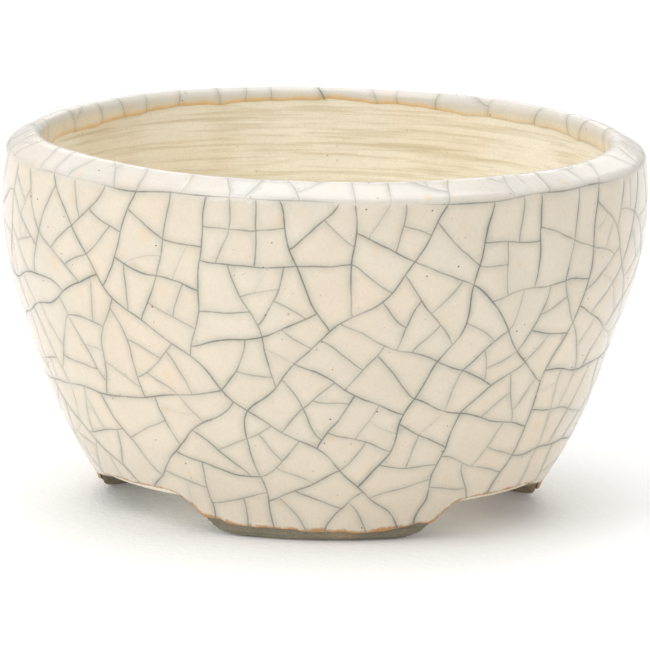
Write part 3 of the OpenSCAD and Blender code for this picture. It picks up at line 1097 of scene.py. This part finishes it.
def makeGlaze(c, form, line, belly, material):
    sheet, spots, faces, dist, tone, island, broken = makeGlazeSheet(c, line, belly)
    skinCount = len(spots)
    rimPlace = nearestTo([spots[i] for i in sheet.topEdge], sheet.stretch)
    footPlace = nearestTo([spots[i] for i in sheet.floorEdge], sheet.stretch)
    # the inner skin starts from the same edge points, a glaze's thickness deeper
    edge = sheet.whole
    p = np.array([spots[i] for i in edge])
    inner = hexPoints(p.min(0), p.max(0), 2.0)
    low = np.interp(inner[:, 0], sheet.x, sheet.foot)
    high = np.interp(inner[:, 0], sheet.x, sheet.rim)
    side = np.interp(inner[:, 1], [spots[i][1] for i in sheet.right], [spots[i][0] for i in sheet.right])
    keep = ((inner[:, 1] > low + 1) & (inner[:, 1] < high - 1)
            & (inner[:, 0] < side - 1) & (inner[:, 0] > side - 2 * math.pi * belly + 1))
    inner = inner[keep]
    made = fillLoop(p, inner)
    under = {i: skinCount + n for n, i in enumerate(edge)}
    index = [under[i] for i in edge] + list(range(skinCount + len(edge), skinCount + len(edge) + len(inner)))
    spots += list(p) + list(inner)
    faces += [(index[i], index[k], index[j]) for i, j, k in made]
    for run in (sheet.floorEdge, sheet.topEdge[::-1]):
        first, last = (sheet.left[0], sheet.right[0]) if run is sheet.floorEdge else (
            sheet.right[-1], sheet.left[-1])
        full = [first] + run + [last]
        for one, two in zip(full, full[1:]):
            faces += [(two, one, under[one]), (two, under[one], under[two])]
    extra = len(spots) - skinCount
    footEdge = [min(footPlace(s), 20.0) for s in spots[:skinCount]] + [20.0] * extra
    rimEdge = [min(rimPlace(s), 20.0) for s in spots[:skinCount]] + [20.0] * extra
    depth = [0.0] * skinCount + [form["Thickness"]] * extra
    # both sides of the seam are one row of points
    twin = dict(sheet.twin)
    twin.update({under[gone]: under[stays] for gone, stays in sheet.twin.items()})
    number, kept = {}, []
    for i in range(len(spots)):
        if i not in twin:
            number[i] = len(kept)
            kept.append(i)
    for gone, stays in twin.items():
        number[gone] = number[stays]
    flat = np.array([spots[i] for i in kept])
    values = {
        "turn": flat[:, 0] / belly,
        "climb": np.interp(flat[:, 1], line["v"], line["s"]) * mm,
        "depth": [depth[i] for i in kept],
        "crackDist": np.array([dist[i] if i < skinCount else 5.0 for i in kept]) * mm,
        "crackTone": [tone[i] if i < skinCount else 0.5 for i in kept],
        "island": [island[i] if i < skinCount else 0.5 for i in kept],
        "footEdge": np.array([footEdge[i] for i in kept]) * mm,
        "rimEdge": np.array([rimEdge[i] for i in kept]) * mm,
        "thrown": [0.0] * len(kept),
    }
    verts = [(p[0] * mm, p[1] * mm, 0) for p in flat]
    piece = addPiece("glazeCoat", verts, [tuple(number[i] for i in f) for f in faces], values)
    curve = outlineCurve("glazeOutline", line)
    addTree(piece, thrownForm, {"Outline": curve, "Material": material, **form})
    bake(piece)
    bpy.data.objects.remove(curve)
    print(f"glaze: {len(sheet.cells)} pieces between cracks, {broken} left out,",
          len(piece.data.polygons), "faces")
    return piece


line = glazeOutline(bowl, parts)
glazeCoat = makeGlaze(crackle, glazeForm, line, parts["belly"], glazeSkin)
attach(glazeCoat, "root")
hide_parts("crackle_glaze")


# The clay wall: one closed outline turned round the axis, with throwing lines inside

wallForm = {
    "Ridge Depth": 0.08 * mm,
    "Ridge Spacing": 0.65 * mm,
    "Wobble": 0.22 * mm,
    "Seed": 4.0,
}

wallMesh = {
    "columns": 264,
    "plainRow": 1.1,       # mm between rows outside
    "thrownRow": 0.19,     # and where the throwing lines are
    "linesStart": 2.2,     # mm down from the crown of the lip
}

def makeWall(form, grid, material):
    outline, slab = wallOutline(bowl, parts, bowl["glaze"] + 0.02)
    s, r, z = outline["s"], outline["r"], outline["z"]
    top = int(np.argmax(z))
    start = s[top] + grid["linesStart"]
    end = s[np.nonzero(np.abs(z - bowl["floorHeight"]) < 0.06)[0][-1]]
    rows = list(np.arange(0, start, grid["plainRow"])) + list(np.arange(start, end, grid["thrownRow"]))
    rows.append(end)
    rest = s[-1] - end
    rows += [end + rest * t for t in (0.04, 0.2, 0.35, 0.45, 0.52, 0.6, 0.75, 0.9, 0.98)]
    thrown = [1.0 if start + 0.5 < row < end - 0.3 else 0.0 for row in rows]
    columns = grid["columns"]
    verts, turn, climb, inside = [], [], [], []
    for row, mark in zip(rows, thrown):
        for i in range(columns):
            verts.append((i * mm, row * mm, 0))
            turn.append(2 * math.pi * i / columns)
            climb.append(row * mm)
            inside.append(mark)
    faces = []
    count = len(rows)
    for j in range(count):
        low, high = j * columns, (j + 1) % count * columns
        for i in range(columns):
            after = (i + 1) % columns
            faces.append((low + i, low + after, high + after, high + i))
    flat = np.zeros(len(verts))
    values = {"turn": turn, "climb": climb, "thrown": inside, "depth": flat, "crackDist": flat + 5 * mm,
              "footEdge": flat + 1, "rimEdge": flat + 1}
    piece = addPiece("clayWall", verts, faces, values)
    curve = outlineCurve("wallOutline", outline)
    addTree(piece, thrownForm, {"Outline": curve, "Material": material, **form})
    bake(piece)
    bpy.data.objects.remove(curve)
    print(f"wall: {count} rows of {columns}")
    return piece


clayWall = makeWall(wallForm, wallMesh, bareClay)
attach(clayWall, "root")
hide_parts("thrown_wall")


# Base and feet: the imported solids, softened and worn by a tree

def makeWornClay():
    tree, given, result = newGroup("wornClay", "GeometryNodeTree", {
        "Geometry": "Geometry",
        "Material": "Material",
        "Wear": 0.1 * mm,
        "Wear Size": 3 * mm,
        "Grit": 0.03 * mm,
        "Ring Depth": 0.0,
        "Ring Spacing": 0.8 * mm,
        "Seed": 0.0,
    }, {"Geometry": "Geometry"})
    place = tree.nodes.new("GeometryNodeInputPosition").outputs[0]
    axes = splitXyz(tree, place)
    spot = joinXyz(tree, calc(tree, "ADD", axes["X"], given["Seed"]), axes["Y"], axes["Z"])
    wear = noise(tree, spot, calc(tree, "DIVIDE", 1.0, given["Wear Size"]), 2, 0.5)
    grit = noise(tree, spot, calc(tree, "DIVIDE", 6.0, given["Wear Size"]), 2, 0.5)
    rings = calc(tree, "DIVIDE", fromAxis(tree, axes), given["Ring Spacing"])
    across = [calc(tree, "MULTIPLY", axes[name], 25.0) for name in "XY"]
    ring = noise(tree, joinXyz(tree, rings, *across), 1.0, 1)
    lift = swing(tree, wear, given["Wear"], 0.62)
    for value, label in ((grit, "Grit"), (ring, "Ring Depth")):
        most = calc(tree, "MULTIPLY", given[label], 2.0)
        lift = calc(tree, "MULTIPLY_ADD", calc(tree, "SUBTRACT", value, 0.5), most, lift)
    normal = tree.nodes.new("GeometryNodeInputNormal").outputs[0]
    shift = addNode(tree, "ShaderNodeVectorMath", {"operation": "SCALE"}, {"Scale": lift})
    tree.links.new(normal, shift.inputs[0])
    moved = addNode(tree, "ShaderNodeVectorMath", {"operation": "ADD"})
    tree.links.new(place, moved.inputs[0])
    tree.links.new(shift.outputs[0], moved.inputs[1])
    end = splitXyz(tree, moved.outputs[0])
    # worn clay never goes through the table
    onTable = joinXyz(tree, end["X"], end["Y"], calc(tree, "MAXIMUM", end["Z"], 0.0))
    worn = addNode(tree, "GeometryNodeSetPosition",
                   inputs={"Geometry": given["Geometry"], "Position": onTable})
    return finishTree(tree, worn.outputs[0], given, result)


wornClay = makeWornClay()

footForm = {"Wear": 0.10 * mm, "Wear Size": 2.6 * mm, "Grit": 0.03 * mm}
baseForm = {"Wear": 0.05 * mm, "Wear Size": 4.0 * mm, "Grit": 0.02 * mm,
            "Ring Depth": 0.06 * mm, "Ring Spacing": 0.8 * mm}
faceSize = {"foot": 0.22 * mm, "base": 0.32 * mm}

def makeWorn(name, node, grain, form, material):
    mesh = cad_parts[node].data.copy()
    piece = addObject(name, mesh)
    mesh.transform(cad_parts[node].matrix_world)
    weld = piece.modifiers.new("weld", "WELD")
    weld.merge_threshold = 0.002 * mm
    remesh = piece.modifiers.new("remesh", "REMESH")
    remesh.mode = "VOXEL"
    remesh.voxel_size = grain
    soften = piece.modifiers.new("soften", "SMOOTH")
    soften.iterations = 2
    addTree(piece, wornClay, {"Material": material, **form})
    bake(piece)
    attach(piece, "root")
    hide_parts(node)
    return piece


baseSlab = makeWorn("baseSlab", "base_slab", faceSize["base"], baseForm, bareClay)
feet = []
for number, (name, node) in enumerate((("footFront", "foot_front"), ("footRearRight", "foot_rear_right"),
                                       ("footRearLeft", "foot_rear_left"))):
    form = {**footForm, "Seed": 0.7 * number}
    feet.append(makeWorn(name, node, faceSize["foot"], form, footClay))
print("base and feet: worn,", sum(len(p.data.polygons) for p in [baseSlab] + feet), "faces")


# Iron specks that came through the glaze

speckForm = {
    "Density": 52000.0,    # per square metre
    "Smallest": 0.04 * mm,
    "Largest": 0.12 * mm,
    "Seed": 9,
}

def makeSpeckle():
    tree, given, result = newGroup("speckle", "GeometryNodeTree", {
        "Geometry": "Geometry",
        "Material": "Material",
        "Density": 50000.0,
        "Smallest": 0.04 * mm,
        "Largest": 0.1 * mm,
        "Seed": 1,
    }, {"Geometry": "Geometry"})
    outer = calc(tree, "LESS_THAN", stored(tree, "depth"), 0.1 * mm)
    points = addNode(tree, "GeometryNodeDistributePointsOnFaces", {"distribute_method": "RANDOM"}, {
        "Mesh": given["Geometry"], "Selection": outer, "Density": given["Density"], "Seed": given["Seed"]})
    ball = addNode(tree, "GeometryNodeMeshIcoSphere", inputs={"Radius": 1.0, "Subdivisions": 2})
    chance = addNode(tree, "FunctionNodeRandomValue", {"data_type": "FLOAT"})
    feed(tree, chance.inputs["Seed"], given["Seed"])
    amount = [o for o in chance.outputs if o.enabled][0]
    size = calc(tree, "MULTIPLY_ADD", calc(tree, "POWER", amount, 2.5),
                calc(tree, "SUBTRACT", given["Largest"], given["Smallest"]), given["Smallest"])
    scale = joinXyz(tree, size, calc(tree, "MULTIPLY", size, 0.8), calc(tree, "MULTIPLY", size, 0.3))
    put = addNode(tree, "GeometryNodeInstanceOnPoints", inputs={
        "Points": points.outputs["Points"], "Instance": ball.outputs["Mesh"],
        "Rotation": points.outputs["Rotation"], "Scale": scale})
    return finishTree(tree, put.outputs[0], given, result)


def makeSpeckLook():
    material, tree, skin = addMaterial("ironSpeck")
    spotted = useGroup(tree, mottle, {"Colour": (0.20, 0.11, 0.055, 1), "Warm Colour": (0.36, 0.2, 0.1, 1),
                                      "Warm": 0.7, "Cloud": 0.5, "Grain": 0.2, "Size": 2 * mm})
    tree.links.new(spotted["Colour"], skin.inputs["Base Color"])
    skin.inputs["Roughness"].default_value = 0.3
    return material


ironSpots = addObject("ironSpots", glazeCoat.data.copy())
addTree(ironSpots, makeSpeckle(), {"Material": makeSpeckLook(), **speckForm})
bake(ironSpots)
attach(ironSpots, "root")
print("specks:", len(ironSpots.data.polygons) // 80)
